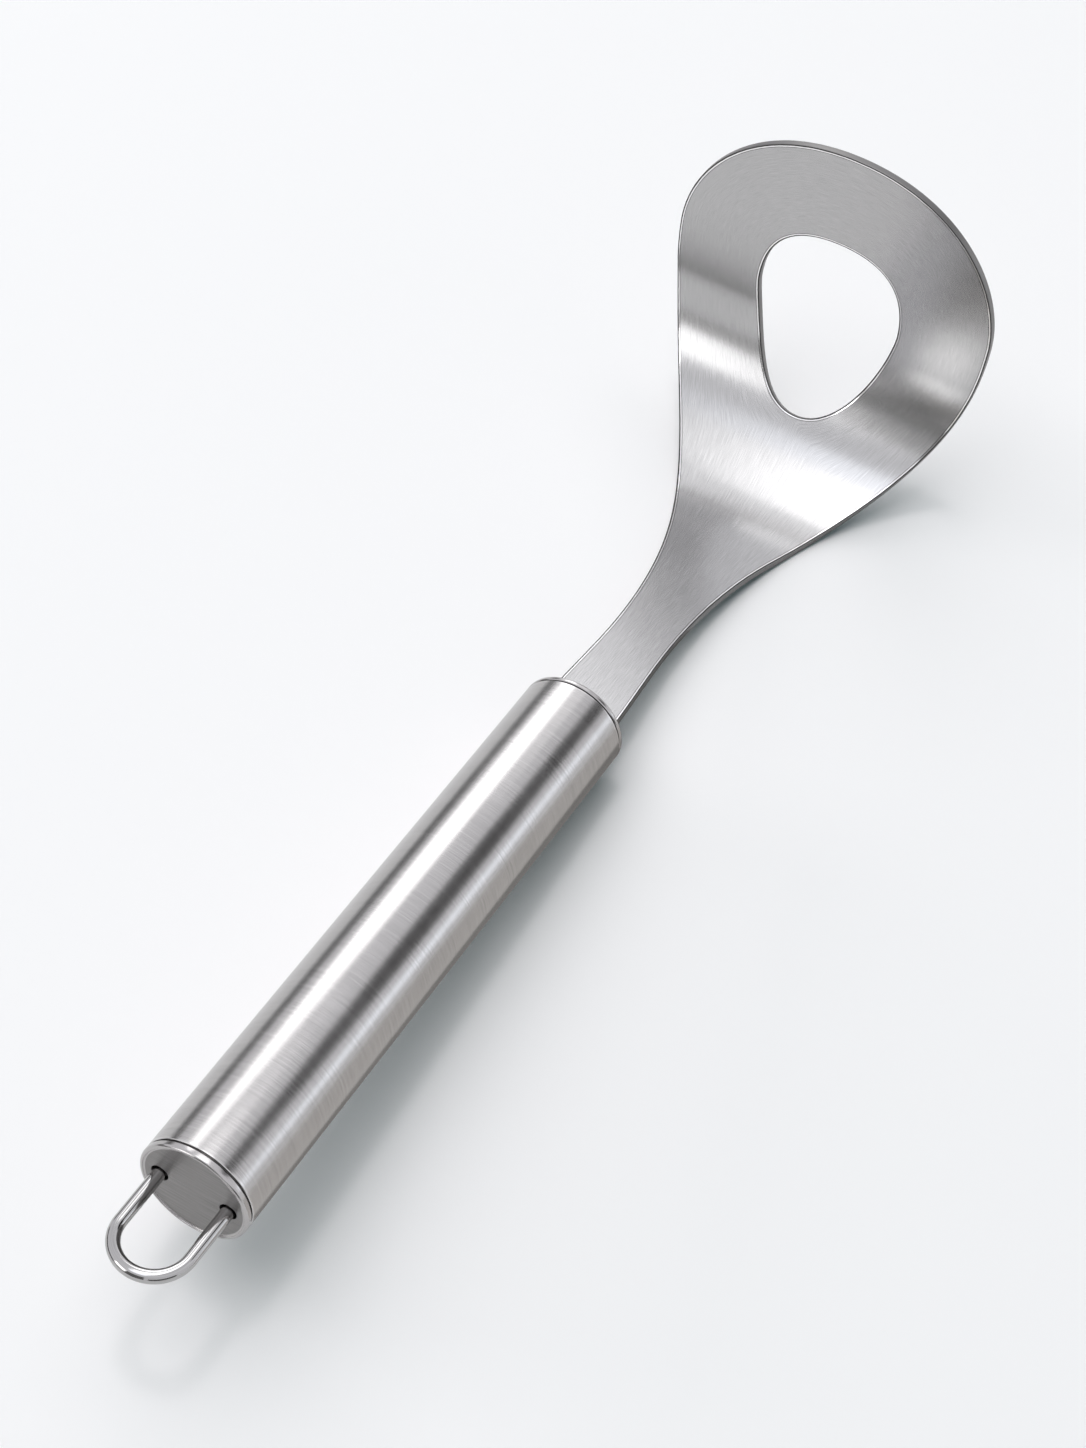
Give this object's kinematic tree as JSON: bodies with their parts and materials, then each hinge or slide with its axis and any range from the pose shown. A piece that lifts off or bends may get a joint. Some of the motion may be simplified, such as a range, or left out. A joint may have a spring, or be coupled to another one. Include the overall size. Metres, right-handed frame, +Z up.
{
  "type": "meatball scoop",
  "caption": "Stainless steel meatball scoop: an upturned flat cutting ring on a flared shank, with a hollow round handle and a wire hanging loop that slides in its end cap.",
  "frame": {"origin": "middle of the bounding box, on the surface the scoop rests on", "axes": "+X from the handle's tail to the head, +Y across the blade, +Z up in the pose in which it rests, nose down on the front rim and the bend"},
  "size_m": [0.235, 0.0652, 0.0687],
  "materials": {
    "blade_steel": "brushed along the shank and round the ring",
    "tube_steel": "satin, brushed round the tube",
    "cap_steel": "satin face with a polished rolled rim",
    "loop_steel": "polished drawn wire"
  },
  "bodies": {
    "handle": {"handle_tube": "tube_steel", "front_cap": "cap_steel", "tail_cap": "cap_steel", "scoop_blade": "blade_steel"},
    "loop": {"hanging_loop": "loop_steel"}
  },
  "joints": [
    {"name": "loop_slide", "type": "slide", "parent": "handle", "child": "loop", "axis": [0.9927, 0, -0.1209], "range_m": [0, 0.0095]}
  ]
}
